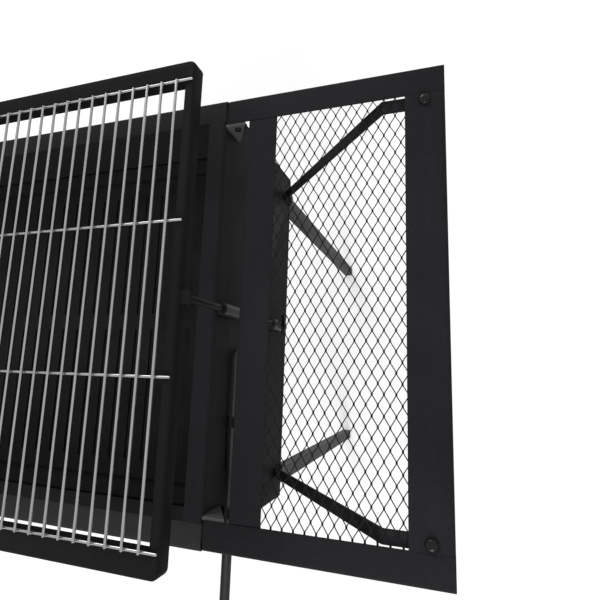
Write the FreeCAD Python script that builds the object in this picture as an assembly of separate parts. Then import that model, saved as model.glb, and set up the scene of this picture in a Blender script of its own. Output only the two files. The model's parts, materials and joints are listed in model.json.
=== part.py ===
"""Charcoal grill with a height-adjustable cooking grate, two mesh side shelves and a front rail.

Millimetres, +Z up, +X to the right, the cook stands at -Y in front of the rail.
The ground is Z = 0 and the origin lies under the middle of the whole grill.
"""
import FreeCAD, Part
import math
import os

Vec = FreeCAD.Vector
X_AXIS = Vec(1, 0, 0)
Y_AXIS = Vec(0, 1, 0)
Z_AXIS = Vec(0, 0, 1)

# Firebox body, folded from sheet steel
BODY_WIDTH = 620.0
BODY_DEPTH = 442.0
BODY_HEIGHT = 205.0
TOP_HEIGHT = 760.0
SHEET = 2.0
BEND = 2.0
SIDE_FLANGE = 19.0
END_FLANGE = 24.0
CORNER_RELIEF = 5.0
FLOOR_RISE = 40.0
FLOOR_RIM = 15.0

# Legs of square tube with end caps, bolted to the front and rear panels under the floor
LEG_SIZE = 20.0
LEG_WALL = 2.0
LEG_CORNER = 2.5
LEG_SIDE_GAP = 17.0
LEG_BOLT_EDGE = 18.0
LEG_CAP = 3.0

# Charcoal grate, a slotted plate on two angle ledges
LEDGE_RISE = 60.0
LEDGE_HEIGHT = 16.0
COAL_THICK = 3.0
COAL_MOUTH_PLAY = 5.0
COAL_LAP = 8.0
COAL_SLOT_WIDTH = 10.0
COAL_SLOT_PITCH = 24.0
COAL_RIB = 20.0

# Raised frame that carries the cooking grate
FRAME_SIDE_OVERHANG = 2.0
FRAME_END_INSET = 1.0
FRAME_LIFT = 66.0
FRAME_SKIRT = 14.0
FRAME_LIP = 11.0
FRAME_SIDE_FLANGE = 8.7
FRAME_END_FLANGE = 21.0
FRAME_EDGE_RADIUS = 3.0
FRAME_CORNER_RADIUS = 7.0

# Cooking grate of round wire
WIRE_DIA = 2.8
WIRE_SIDES = 8
WIRE_PITCH = 15.6
WIRE_OVERHANG = 1.2
CROSS_WIRE_INSET = 21.0
CROSS_WIRE_COUNT = 4
CROSS_WIRE_END = 1.0
OUTER_WIRE_INSET = 14.0

# Lift rods under tabs of the frame, and the sleeves and guides they slide in
ROD_DIA = 7.0
ROD_BELOW_GUIDE = 4.0
SLIDE_CLEARANCE = 0.1
TAB_WIDTH = 12.0
TAB_REACH = 10.0
TAB_CHAMFER = 2.5
TAB_SHEET = 3.0
TAB_DROP = 3.0
GUIDE_DIA = 13.0
SLEEVE_DROP = 4.0
SLEEVE_LENGTH = 45.0
GUIDE_RISE = 29.0
GUIDE_LENGTH = 38.0

# Wing screw that locks the rod in the lower guide
LOCK_DIA = 5.0
LOCK_CLEARANCE = 0.05
LOCK_TIP_GAP = 0.3
LOCK_ABOVE_END = 26.0
LOCK_BOSS_WIDTH = 9.0
LOCK_BOSS_LENGTH = 2.5
WING_GAP = 0.5
WING_THICK = 4.0
WING_SPAN = 24.0
WING_TIP_HEIGHT = 9.0
WING_NECK_HEIGHT = 5.0
WING_NECK_WIDTH = 8.0

# Front rail on two flat arms
ARM_HEIGHT = 16.0
ARM_THICK = 3.0
ARM_DROP = 38.0
ARM_LAP = 184.0
ARM_BOLT_EDGE = 21.0
ARM_BOLT_SPACING = 88.0
SPACER_SIZE = 12.0
SPACER_THICK = 3.0
RAIL_STANDOFF = 126.0
RAIL_DIA = 12.0
RAIL_WALL = 1.5
RAIL_PLUG_LENGTH = 20.0
RAIL_PLUG_SIDES = 12

# Side shelves: folded angles around expanded mesh
SHELF_GAP = 2.0
SHELF_REACH = 217.0
SHELF_END_INSET = 1.0
SHELF_SKIRT = 20.0
SHELF_END_BAR = 26.5
SHELF_INNER_GAP = 25.5
SHELF_INNER_BAR = 31.5
SHELF_OUTER_BAR = 35.0
MESH_THICK = 1.0
MESH_LAP = 8.0
MESH_SHORT_PITCH = 20.0
MESH_LONG_PITCH = 34.0
MESH_STRAND = 2.2

# Ears on the body that carry the inner edge of a shelf
EAR_WIDTH = 22.0
EAR_HEIGHT = 34.0
EAR_SHEET = 3.0
EAR_TOP_DROP = 1.0
EAR_BOLT_OUT = 11.0
EAR_BOLT_DROP = 8.0
SHELF_LUG_WIDTH = 16.0
SHELF_LUG_CUT = 4.5

# Braces under the outer edge of a shelf
BRACE_WIDTH = 12.0
BRACE_THICK = 3.0
BRACE_IN_FROM_BAR = 6.5
BRACE_BOLT_OUT = 199.5
BRACE_TAB_END = 212.0
BRACE_BEND_OUT = 162.0
BRACE_FOOT_RISE = 23.0
BRACE_FOOT_LENGTH = 21.0
BRACE_FOOT_BOLT = 12.0

# Fasteners: head and nut sizes over the thread diameter
BOLT_DIA = 6.0
BOLT_SIDES = 8
HEX_FACTOR = 1.7
HEAD_FACTOR = 0.65
NUT_FACTOR = 0.8
BUTTON_FACTOR = 1.8
BUTTON_SIDES = 12

# Places worked out from the sizes above
SIDE_X = BODY_WIDTH / 2
REAR_Y = BODY_DEPTH / 2
INSIDE_X = SIDE_X - SHEET
INSIDE_Y = REAR_Y - SHEET
BODY_BOTTOM = TOP_HEIGHT - BODY_HEIGHT
FLOOR_Z = BODY_BOTTOM + FLOOR_RISE
LEDGE_Z = FLOOR_Z + LEDGE_RISE
FRAME_X = SIDE_X + FRAME_SIDE_OVERHANG
FRAME_Y = REAR_Y - FRAME_END_INSET
FRAME_TOP = TOP_HEIGHT + FRAME_LIFT
ROD_X = FRAME_X + ROD_DIA / 2
SLEEVE_LOW = TOP_HEIGHT - SLEEVE_DROP - SLEEVE_LENGTH
GUIDE_LOW = BODY_BOTTOM + GUIDE_RISE
ROD_BOTTOM = GUIDE_LOW - ROD_BELOW_GUIDE
LOCK_Z = GUIDE_LOW + LOCK_ABOVE_END
BOSS_END_X = ROD_X + GUIDE_DIA / 2 + LOCK_BOSS_LENGTH
ARM_X = SIDE_X + SPACER_THICK
RAIL_Z = TOP_HEIGHT - ARM_DROP - ARM_HEIGHT / 2
RAIL_Y = -REAR_Y - RAIL_STANDOFF
REAR_END_Y = REAR_Y + BOLT_DIA * HEAD_FACTOR
MIDDLE_SHIFT = (max(ARM_HEIGHT, RAIL_DIA) / 2 - RAIL_Y - REAR_END_Y) / 2
SHELF_END_Y = REAR_Y - SHELF_END_INSET
SHELF_OPEN_Y = SHELF_END_Y - SHELF_END_BAR
INNER_BAR_X = SIDE_X + SHELF_INNER_GAP
OUTER_BAR_X = SIDE_X + SHELF_REACH - SHELF_OUTER_BAR
SHELF_OUTER_X = SIDE_X + SHELF_REACH
EAR_BOLT = Vec(SIDE_X + EAR_BOLT_OUT, SHELF_OPEN_Y, TOP_HEIGHT - EAR_BOLT_DROP)
BRACE_Y = SHELF_OPEN_Y - BRACE_IN_FROM_BAR
BRACE_TOP = TOP_HEIGHT - SHEET - MESH_THICK
BRACE_SEAT = Vec(SIDE_X + BRACE_BOLT_OUT, BRACE_Y, TOP_HEIGHT)
BRACE_FOOT_Z = BODY_BOTTOM + BRACE_FOOT_RISE
BRACE_FOOT = Vec(SIDE_X, BRACE_Y, BRACE_FOOT_Z - BRACE_FOOT_BOLT)


def box(x_range, y_range, z_range):
    """A block between two corners, each range given as (low, high)."""
    low = Vec(x_range[0], y_range[0], z_range[0])
    size = Vec(x_range[1], y_range[1], z_range[1]) - low
    return Part.makeBox(size.x, size.y, size.z, low)


def centred_box(half_x, half_y, z_range):
    """A block about the middle of the body."""
    return box((-half_x, half_x), (-half_y, half_y), z_range)


def rod(diameter, start, end):
    """A round bar between two points."""
    return Part.makeCylinder(diameter / 2, (end - start).Length, start, end - start)


def tube(outer, inner, start, end):
    """A round tube between two points."""
    return rod(outer, start, end).cut(rod(inner, start, end))


def prism(points, extent):
    """A flat outline pushed through a vector."""
    return Part.Face(Part.makePolygon(points + points[:1])).extrude(extent)


def many_sided(across, sides, start, extent):
    """A bar with flat sides, given its width across flats, from a point through a vector."""
    upright = abs(extent.z) > extent.Length / 2
    spoke = (X_AXIS if upright else Z_AXIS) * (across / 2 / math.cos(math.pi / sides))
    spoke = FreeCAD.Rotation(extent, 180.0 / sides).multVec(spoke)
    turn = FreeCAD.Rotation(extent, 360.0 / sides)
    points = []
    for _ in range(sides):
        points.append(start + spoke)
        spoke = turn.multVec(spoke)
    return prism(points, extent)


def bolt_shaft(start, end):
    """The shaft of a bolt between two points, or the hole that it fills, flat-sided to keep faces few."""
    return many_sided(BOLT_DIA, BOLT_SIDES, start, end - start)


def hex_bolt(seat, inward, length):
    """A hex bolt with its head outside the seat and its shank running inward."""
    head = many_sided(BOLT_DIA * HEX_FACTOR, 6, seat, inward * (-BOLT_DIA * HEAD_FACTOR))
    return head.fuse(bolt_shaft(seat, seat + inward * length)).removeSplitter()


def cap_nut(seat, outward):
    """A closed hex nut on a seat, over the end of a bolt."""
    return many_sided(BOLT_DIA * HEX_FACTOR, 6, seat, outward * (BOLT_DIA * NUT_FACTOR))


def button_bolt(seat, inward, length):
    """A bolt with a low head of many sides, and a shank running inward."""
    rise = inward * (-BOLT_DIA * HEAD_FACTOR)
    head = many_sided(BOLT_DIA * BUTTON_FACTOR, BUTTON_SIDES, seat, rise)
    return head.fuse(bolt_shaft(seat, seat + inward * length)).removeSplitter()


def plate_washer(seat, outward, thickness):
    """A square washer on a seat, bored for a bolt."""
    plate = many_sided(SPACER_SIZE, 4, seat, outward * thickness)
    return plate.cut(bolt_shaft(seat, seat + outward * thickness))


def corner_arc(before, corner, after, radius):
    """The tangent points and the arc that round one corner of a path."""
    towards = (before - corner).normalize()
    onwards = (after - corner).normalize()
    half = towards.getAngle(onwards) / 2
    reach = radius / math.tan(half)
    start = corner + towards * reach
    end = corner + onwards * reach
    inward = (towards + onwards).normalize()
    middle = corner + inward * (radius / math.sin(half) - radius)
    return start, end, Part.Arc(start, middle, end).toShape()


def rounded_edges(points, radii):
    """Edges of an open path whose inner corners have the given radii."""
    edges = []
    last = points[0]
    for index in range(1, len(points) - 1):
        around = points[index - 1:index + 2]
        start, end, arc = corner_arc(around[0], around[1], around[2], radii[index - 1])
        edges.append(Part.LineSegment(last, start).toShape())
        edges.append(arc)
        last = end
    edges.append(Part.LineSegment(last, points[-1]).toShape())
    return edges


def bent_sheet(path, normal, thickness, extent):
    """Sheet folded along a path, thickened to the left of it about a normal, pushed through a vector."""
    sides = []
    for start, end in zip(path, path[1:]):
        sides.append(normal.cross(end - start).normalize())
    other = [path[0] + sides[0] * thickness]
    radii = []
    other_radii = []
    for index in range(1, len(path) - 1):
        first = sides[index - 1]
        second = sides[index]
        other.append(path[index] + (first + second) * (thickness / (1 + first.dot(second))))
        turns_left = (path[index + 1] - path[index]).dot(first) > 0
        radii.append(BEND + thickness if turns_left else BEND)
        other_radii.append(BEND if turns_left else BEND + thickness)
    other.append(path[-1] + sides[-1] * thickness)
    edges = rounded_edges(path, radii)
    edges.append(Part.LineSegment(path[-1], other[-1]).toShape())
    edges += rounded_edges(other[::-1], other_radii[::-1])
    edges.append(Part.LineSegment(other[0], path[0]).toShape())
    return Part.Face(Part.Wire(Part.sortEdges(edges)[0])).extrude(extent)


def mirrored(shape):
    """The same piece on the left side of the grill."""
    return shape.mirror(Vec(0, 0, 0), X_AXIS)


def flipped(shape):
    """The same piece at the other end, front for rear."""
    return shape.mirror(Vec(0, 0, 0), Y_AXIS)


def all_corners(shape):
    """A piece and its images at the other three corners of the body."""
    pair = [shape, flipped(shape)]
    return pair + [mirrored(piece) for piece in pair]


def save(name, *solids):
    """Write one named piece, or a group of like pieces, in the grill's own frame."""
    shape = solids[0] if len(solids) == 1 else Part.makeCompound(list(solids))
    shape = shape.copy()
    shape.translate(Y_AXIS * MIDDLE_SHIFT)
    shape.exportStep(os.path.join("parts", name + ".step"))


def save_pair(name, *solids):
    """Write right-hand pieces, and their mirror images on the left."""
    save("right_" + name, *solids)
    save("left_" + name, *[mirrored(solid) for solid in solids])


def leg_bolt_point():
    """Bolt centre of the rear right leg, on the outer face of the rear panel."""
    x = INSIDE_X - LEG_SIDE_GAP - LEG_SIZE / 2
    return Vec(x, REAR_Y, BODY_BOTTOM + LEG_BOLT_EDGE)


def arm_bolt_points():
    """Bolt centres of the right arm, on the outer face of the right panel."""
    points = []
    for row in range(2):
        points.append(Vec(SIDE_X, -REAR_Y + ARM_BOLT_EDGE + row * ARM_BOLT_SPACING, RAIL_Z))
    return points


def end_panel():
    """Rear panel: a full-width wall with its top flange folded inward."""
    path = [
        Vec(-SIDE_X, REAR_Y, BODY_BOTTOM),
        Vec(-SIDE_X, REAR_Y, TOP_HEIGHT),
        Vec(-SIDE_X, REAR_Y - END_FLANGE, TOP_HEIGHT),
    ]
    panel = bent_sheet(path, X_AXIS, SHEET, X_AXIS * BODY_WIDTH)
    hole = bolt_shaft(leg_bolt_point(), leg_bolt_point() - Y_AXIS * SHEET)
    return panel.cut([hole, mirrored(hole)])


def side_panel():
    """Right panel: it fits between the end panels, and its flange fits between theirs."""
    half_flange = REAR_Y - END_FLANGE
    path = [
        Vec(SIDE_X, half_flange, BODY_BOTTOM),
        Vec(SIDE_X, half_flange, TOP_HEIGHT),
        Vec(SIDE_X - SIDE_FLANGE, half_flange, TOP_HEIGHT),
    ]
    panel = bent_sheet(path, -Y_AXIS, SHEET, Y_AXIS * (-2 * half_flange))
    tail = box((INSIDE_X, SIDE_X), (half_flange, INSIDE_Y), (BODY_BOTTOM, TOP_HEIGHT - SHEET))
    notch_y = (INSIDE_Y - CORNER_RELIEF, INSIDE_Y)
    tail = tail.cut(box((INSIDE_X, SIDE_X), notch_y, (TOP_HEIGHT - CORNER_RELIEF, TOP_HEIGHT)))
    panel = panel.fuse([tail, flipped(tail)]).removeSplitter()
    for point in arm_bolt_points() + [BRACE_FOOT]:
        panel = panel.cut(bolt_shaft(point, point - X_AXIS * SHEET))
    return panel.cut(flipped(bolt_shaft(BRACE_FOOT, BRACE_FOOT - X_AXIS * SHEET)))


def floor_pan():
    """Floor of the firebox, a plate with its four edges turned up against the panels."""
    block = centred_box(INSIDE_X, INSIDE_Y, (FLOOR_Z, FLOOR_Z + FLOOR_RIM))
    hollow_z = (FLOOR_Z + SHEET, FLOOR_Z + FLOOR_RIM)
    return block.cut(centred_box(INSIDE_X - SHEET, INSIDE_Y - SHEET, hollow_z))


def upright_edges(block):
    """The upright edges of a block."""
    return [edge for edge in block.Edges if edge.BoundBox.ZLength > 0.01]


def round_corners(block, radius):
    """Round the upright corners of a block."""
    return block.makeFillet(radius, upright_edges(block))


def leg_block(inset, z_range):
    """A block on the plan of the rear right leg, its sides set in by a distance."""
    high_x = INSIDE_X - LEG_SIDE_GAP - inset
    high_y = INSIDE_Y - inset
    side = LEG_SIZE - 2 * inset
    return box((high_x - side, high_x), (high_y - side, high_y), z_range)


def leg():
    """Rear right leg: a tube against the rear panel, from its cap up to the floor."""
    z_range = (LEG_CAP, FLOOR_Z)
    tube_leg = round_corners(leg_block(0, z_range), LEG_CORNER)
    tube_leg = tube_leg.cut(leg_block(LEG_WALL, z_range))
    start = leg_bolt_point()
    return tube_leg.cut(bolt_shaft(start, start - Y_AXIS * (SHEET + LEG_SIZE)))


def leg_cap():
    """Cap under the rear right leg, with its corners cut off."""
    block = leg_block(0, (0, LEG_CAP))
    return block.makeChamfer(LEG_CORNER / 2, upright_edges(block))


def coal_plate_half():
    """Half sizes of the charcoal grate, which passes up through the mouth of the body."""
    half_x = SIDE_X - SIDE_FLANGE - COAL_MOUTH_PLAY
    half_y = REAR_Y - END_FLANGE - COAL_MOUTH_PLAY
    return half_x, half_y


def ledge():
    """Rear ledge of the charcoal grate, an angle along the rear panel."""
    inner_y = coal_plate_half()[1] - COAL_LAP
    path = [
        Vec(-INSIDE_X, INSIDE_Y, LEDGE_Z - LEDGE_HEIGHT),
        Vec(-INSIDE_X, INSIDE_Y, LEDGE_Z),
        Vec(-INSIDE_X, inner_y, LEDGE_Z),
    ]
    return bent_sheet(path, X_AXIS, SHEET, X_AXIS * (2 * INSIDE_X))


def coal_slot(x):
    """Cutter for one slot in the rear half of the charcoal grate."""
    half = COAL_SLOT_WIDTH / 2
    y_range = (COAL_RIB / 2, coal_plate_half()[1] - COAL_RIB)
    return box((x - half, x + half), y_range, (LEDGE_Z, LEDGE_Z + COAL_THICK))


def charcoal_grate():
    """Plate with two rows of slots, resting on the ledges."""
    half_x, half_y = coal_plate_half()
    plate = centred_box(half_x, half_y, (LEDGE_Z, LEDGE_Z + COAL_THICK))
    count = int((half_x - COAL_RIB) / COAL_SLOT_PITCH)
    slots = []
    for index in range(-count, count + 1):
        slot = coal_slot(index * COAL_SLOT_PITCH)
        slots += [slot, flipped(slot)]
    return plate.cut(slots)


def round_top(block, radius):
    """Round the edges around the top of a block."""
    top = block.BoundBox.ZMax
    around = [edge for edge in block.Edges if edge.BoundBox.ZMin > top - 0.01]
    return block.makeFillet(radius, around)


def frame_ring():
    """The raised frame in one piece: a flat rim with an outer skirt and an inner lip."""
    skirt_z = FRAME_TOP - FRAME_SKIRT
    outer = centred_box(FRAME_X, FRAME_Y, (skirt_z, FRAME_TOP))
    hollow = centred_box(FRAME_X - SHEET, FRAME_Y - SHEET, (skirt_z, FRAME_TOP - SHEET))
    ring = round_top(round_corners(outer, FRAME_CORNER_RADIUS), FRAME_EDGE_RADIUS)
    ring = ring.cut(round_corners(hollow, FRAME_CORNER_RADIUS - SHEET))
    open_x = FRAME_X - FRAME_SIDE_FLANGE
    open_y = FRAME_Y - FRAME_END_FLANGE
    lip = centred_box(open_x + SHEET, open_y + SHEET, (FRAME_TOP - FRAME_LIP, FRAME_TOP - SHEET))
    mouth = centred_box(open_x, open_y, (skirt_z, FRAME_TOP))
    return ring.fuse(lip).cut(mouth).removeSplitter()


def mitre_corners(side_x, side_y):
    """The two ends of one mitre line of the frame, a little past its inner and outer corners."""
    inner = Vec(FRAME_X - FRAME_SIDE_FLANGE, FRAME_Y - FRAME_END_FLANGE, 0)
    across = Vec(FRAME_SIDE_FLANGE, FRAME_END_FLANGE, 0)
    ends = []
    for point in (inner - across * 0.5, inner + across * 1.5):
        ends.append(Vec(point.x * side_x, point.y * side_y, FRAME_TOP - FRAME_SKIRT))
    return ends


def frame_bar(ring, first, second):
    """The bar of the frame that lies between two corners, cut off at their mitres."""
    start = mitre_corners(first[0], first[1])
    end = mitre_corners(second[0], second[1])
    return ring.common(prism([start[0], start[1], end[1], end[0]], Z_AXIS * FRAME_SKIRT))


def cross_wires():
    """Wires that lie across the frame."""
    end_y = FRAME_Y - CROSS_WIRE_INSET
    half = FRAME_X - CROSS_WIRE_END
    z = FRAME_TOP + WIRE_DIA / 2
    wires = []
    for row in range(CROSS_WIRE_COUNT):
        y = end_y * (2 * row / (CROSS_WIRE_COUNT - 1) - 1)
        wires.append(many_sided(WIRE_DIA, WIRE_SIDES, Vec(-half, y, z), X_AXIS * (2 * half)))
    return wires


def long_wires():
    """Wires welded on top of the cross wires."""
    half = FRAME_Y - CROSS_WIRE_INSET + WIRE_OVERHANG
    z = FRAME_TOP + WIRE_DIA * 1.5
    count = int((FRAME_X - OUTER_WIRE_INSET) / WIRE_PITCH)
    wires = []
    for index in range(-count, count + 1):
        x = index * WIRE_PITCH
        wires.append(many_sided(WIRE_DIA, WIRE_SIDES, Vec(x, -half, z), Y_AXIS * (2 * half)))
    return wires


def rod_tab():
    """Right tab: a plate out from the skirt of the frame, over the rod."""
    half = TAB_WIDTH / 2
    end_x = FRAME_X + TAB_REACH
    z = FRAME_TOP - TAB_DROP - TAB_SHEET
    points = [
        Vec(FRAME_X, -half, z),
        Vec(end_x - TAB_CHAMFER, -half, z),
        Vec(end_x, TAB_CHAMFER - half, z),
        Vec(end_x, half - TAB_CHAMFER, z),
        Vec(end_x - TAB_CHAMFER, half, z),
        Vec(FRAME_X, half, z),
    ]
    return prism(points, Z_AXIS * TAB_SHEET)


def lift_rod():
    """Right lift rod, along the skirt and under its tab, with a chamfered lower end."""
    top = FRAME_TOP - TAB_DROP - TAB_SHEET
    shaft = rod(ROD_DIA, Vec(ROD_X, 0, ROD_BOTTOM), Vec(ROD_X, 0, top))
    end = [edge for edge in shaft.Edges if edge.BoundBox.ZMax < ROD_BOTTOM + ROD_DIA]
    return shaft.makeChamfer(ROD_DIA / 8, end)


def guide_tube(low, length):
    """Tube for the lift rod, its back cut flat where it is welded to the right panel."""
    start = Vec(ROD_X, 0, low)
    end = start + Z_AXIS * length
    sleeve = tube(GUIDE_DIA, ROD_DIA + 2 * SLIDE_CLEARANCE, start, end)
    return sleeve.cut(box((0, SIDE_X), (-GUIDE_DIA, GUIDE_DIA), (start.z, end.z)))


def lock_tip_x():
    """How far in the lock screw reaches, just short of the rod."""
    return ROD_X + ROD_DIA / 2 + LOCK_TIP_GAP


def lower_guide():
    """Right lower guide with a hex boss and the hole for its lock screw."""
    middle = Vec(ROD_X, 0, LOCK_Z)
    end = Vec(BOSS_END_X, 0, LOCK_Z)
    low = Vec(ROD_X, 0, LOCK_Z - LOCK_BOSS_WIDTH)
    boss = many_sided(LOCK_BOSS_WIDTH, 6, middle, end - middle)
    boss = boss.cut(rod(ROD_DIA + 2 * SLIDE_CLEARANCE, low, low + Z_AXIS * (2 * LOCK_BOSS_WIDTH)))
    guide = guide_tube(GUIDE_LOW, GUIDE_LENGTH).fuse(boss)
    return guide.cut(rod(LOCK_DIA + 2 * LOCK_CLEARANCE, middle, end)).removeSplitter()


def lock_screw():
    """Right lock screw: two wings on a shank that points at the rod."""
    start = Vec(BOSS_END_X + WING_GAP, 0, LOCK_Z)
    neck_y = WING_NECK_WIDTH / 2
    neck_z = WING_NECK_HEIGHT / 2
    tip_y = WING_SPAN / 2
    tip_z = WING_TIP_HEIGHT / 2
    points = []
    for side in (1, -1):
        for y, z in ((tip_y, -tip_z), (tip_y, tip_z), (neck_y, neck_z)):
            points.append(start + Y_AXIS * (side * y) + Z_AXIS * (side * z))
        points.append(start - Y_AXIS * (side * neck_y) + Z_AXIS * (side * neck_z))
    wings = prism(points, X_AXIS * WING_THICK)
    return wings.fuse(rod(LOCK_DIA, Vec(lock_tip_x(), 0, LOCK_Z), start)).removeSplitter()


def rail_arm():
    """Right arm of the front rail: a flat bar on edge with round ends."""
    radius = ARM_HEIGHT / 2
    rear_y = ARM_LAP - REAR_Y - radius
    x_range = (ARM_X, ARM_X + ARM_THICK)
    arm = box(x_range, (RAIL_Y, rear_y), (RAIL_Z - radius, RAIL_Z + radius))
    ends = []
    for y in (RAIL_Y, rear_y):
        ends.append(rod(ARM_HEIGHT, Vec(x_range[0], y, RAIL_Z), Vec(x_range[1], y, RAIL_Z)))
    arm = arm.fuse(ends).removeSplitter()
    for point in arm_bolt_points() + [Vec(SIDE_X, RAIL_Y, RAIL_Z)]:
        arm = arm.cut(bolt_shaft(point, point + X_AXIS * (SPACER_THICK + ARM_THICK)))
    return arm


def end_bar():
    """Rear bar of the right shelf: a flat top and a skirt along the rear edge."""
    path = [
        Vec(SIDE_X + SHELF_GAP, SHELF_END_Y, TOP_HEIGHT - SHELF_SKIRT),
        Vec(SIDE_X + SHELF_GAP, SHELF_END_Y, TOP_HEIGHT),
        Vec(SIDE_X + SHELF_GAP, SHELF_OPEN_Y, TOP_HEIGHT),
    ]
    return bent_sheet(path, X_AXIS, SHEET, X_AXIS * (SHELF_REACH - SHELF_GAP))


def inner_bar():
    """Inner bar of the right shelf, its skirt towards the body."""
    path = [
        Vec(INNER_BAR_X + SHELF_INNER_BAR, -SHELF_OPEN_Y, TOP_HEIGHT),
        Vec(INNER_BAR_X, -SHELF_OPEN_Y, TOP_HEIGHT),
        Vec(INNER_BAR_X, -SHELF_OPEN_Y, TOP_HEIGHT - SHELF_SKIRT),
    ]
    return bent_sheet(path, -Y_AXIS, SHEET, Y_AXIS * (2 * SHELF_OPEN_Y))


def outer_bar():
    """Outer bar of the right shelf, its skirt running on under the end bars."""
    path = [
        Vec(SHELF_OUTER_X, -SHELF_OPEN_Y, TOP_HEIGHT - SHELF_SKIRT),
        Vec(SHELF_OUTER_X, -SHELF_OPEN_Y, TOP_HEIGHT),
        Vec(OUTER_BAR_X, -SHELF_OPEN_Y, TOP_HEIGHT),
    ]
    bar = bent_sheet(path, -Y_AXIS, SHEET, Y_AXIS * (2 * SHELF_OPEN_Y))
    tail_y = (SHELF_OPEN_Y, SHELF_END_Y - SHEET)
    tail_z = (TOP_HEIGHT - SHELF_SKIRT, TOP_HEIGHT - SHEET - BEND)
    tail = box((SHELF_OUTER_X - SHEET, SHELF_OUTER_X), tail_y, tail_z)
    bar = bar.fuse([tail, flipped(tail)]).removeSplitter()
    hole = bolt_shaft(BRACE_SEAT, BRACE_SEAT - Z_AXIS * SHEET)
    return bar.cut([hole, flipped(hole)])


def diamond(centre):
    """One opening of the expanded mesh, a diamond between its strands."""
    open_share = 1 - MESH_STRAND / MESH_SHORT_PITCH
    across = X_AXIS * (MESH_SHORT_PITCH * open_share / 2)
    along = Y_AXIS * (MESH_LONG_PITCH * open_share / 2)
    points = [centre + across, centre + along, centre - across, centre - along]
    return Part.makePolygon(points + points[:1])


def shelf_mesh():
    """Expanded mesh under the bars of the right shelf, one sheet full of diamond openings."""
    top = TOP_HEIGHT - SHEET
    low_x = INNER_BAR_X + SHELF_INNER_BAR - MESH_LAP
    high_x = OUTER_BAR_X + MESH_LAP
    half_y = SHELF_OPEN_Y + MESH_LAP
    outline = Part.makePlane(high_x - low_x, 2 * half_y, Vec(low_x, -half_y, top)).OuterWire
    columns = int((high_x - low_x - MESH_STRAND) / MESH_SHORT_PITCH)
    rows = int((2 * half_y - MESH_STRAND) / MESH_LONG_PITCH)
    middle = (low_x + high_x) / 2
    wires = [outline]
    for shift in (0, 1):
        for column in range(columns - shift):
            x = middle + (column - (columns - 1 - shift) / 2) * MESH_SHORT_PITCH
            for row in range(rows - shift):
                y = (row - (rows - 1 - shift) / 2) * MESH_LONG_PITCH
                wires.append(diamond(Vec(x, y, top)))
    return Part.Face(wires, "Part::FaceMakerBullseye").extrude(Z_AXIS * -MESH_THICK)


def shelf_ear():
    """Rear ear of the right shelf: a triangular gusset on the panel."""
    top = TOP_HEIGHT - EAR_TOP_DROP
    y = SHELF_OPEN_Y - EAR_SHEET
    points = [
        Vec(SIDE_X, y, top),
        Vec(SIDE_X + EAR_WIDTH, y, top),
        Vec(SIDE_X, y, top - EAR_HEIGHT),
    ]
    return prism(points, Y_AXIS * EAR_SHEET)


def shelf_lug():
    """Rear lug of the right shelf: a plate with a narrowed end under the end bar, against the ear."""
    half = SHELF_LUG_WIDTH / 2
    low = EAR_BOLT.z - half
    outline = [(-half, TOP_HEIGHT - SHEET), (-half, low + SHELF_LUG_CUT), (SHELF_LUG_CUT - half, low)]
    outline += [(-x, z) for x, z in outline[::-1]]
    return prism([Vec(EAR_BOLT.x + x, EAR_BOLT.y, z) for x, z in outline], Y_AXIS * EAR_SHEET)


def save_ears():
    """Ears and lugs of both shelves, bolted at the rear and welded at the front."""
    seat = EAR_BOLT - Y_AXIS * EAR_SHEET
    hole = bolt_shaft(seat, seat + Y_AXIS * (2 * EAR_SHEET))
    for name, piece in (("shelf_ears", shelf_ear()), ("shelf_lugs", shelf_lug())):
        pair = [piece.cut(hole), flipped(piece)]
        save(name, *pair, *[mirrored(solid) for solid in pair])
    bolt = hex_bolt(seat, Y_AXIS, 2 * EAR_SHEET)
    save("ear_bolts", bolt, mirrored(bolt))


def brace():
    """Rear brace of the right shelf: a flat bar bent at both ends, from the outer bar to the panel."""
    y = BRACE_Y + BRACE_WIDTH / 2
    path = [
        Vec(SIDE_X + BRACE_TAB_END, y, BRACE_TOP - BRACE_THICK),
        Vec(SIDE_X + BRACE_BEND_OUT, y, BRACE_TOP - BRACE_THICK),
        Vec(SIDE_X + BRACE_THICK, y, BRACE_FOOT_Z),
        Vec(SIDE_X + BRACE_THICK, y, BRACE_FOOT_Z - BRACE_FOOT_LENGTH),
    ]
    bar = bent_sheet(path, Y_AXIS, BRACE_THICK, Y_AXIS * -BRACE_WIDTH)
    bar = bar.cut(bolt_shaft(BRACE_SEAT, BRACE_SEAT - Z_AXIS * SHELF_SKIRT))
    return bar.cut(bolt_shaft(BRACE_FOOT, BRACE_FOOT + X_AXIS * BRACE_THICK))


def brace_bolt_grip():
    """Thickness that a brace's top bolt draws together."""
    return SHEET + MESH_THICK + BRACE_THICK


def save_body():
    """Panels, floor, legs and the inside of the firebox."""
    panel = end_panel()
    save("rear_panel", panel)
    save("front_panel", flipped(panel))
    save_pair("panel", side_panel())
    save("floor_pan", floor_pan())
    corner_leg = leg()
    save_pair("rear_leg", corner_leg)
    save_pair("front_leg", flipped(corner_leg))
    save("leg_caps", *all_corners(leg_cap()))
    save("leg_bolts", *all_corners(hex_bolt(leg_bolt_point(), -Y_AXIS, SHEET + LEG_SIZE)))
    rear_ledge = ledge()
    save("rear_coal_ledge", rear_ledge)
    save("front_coal_ledge", flipped(rear_ledge))
    save("charcoal_grate", charcoal_grate())


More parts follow.
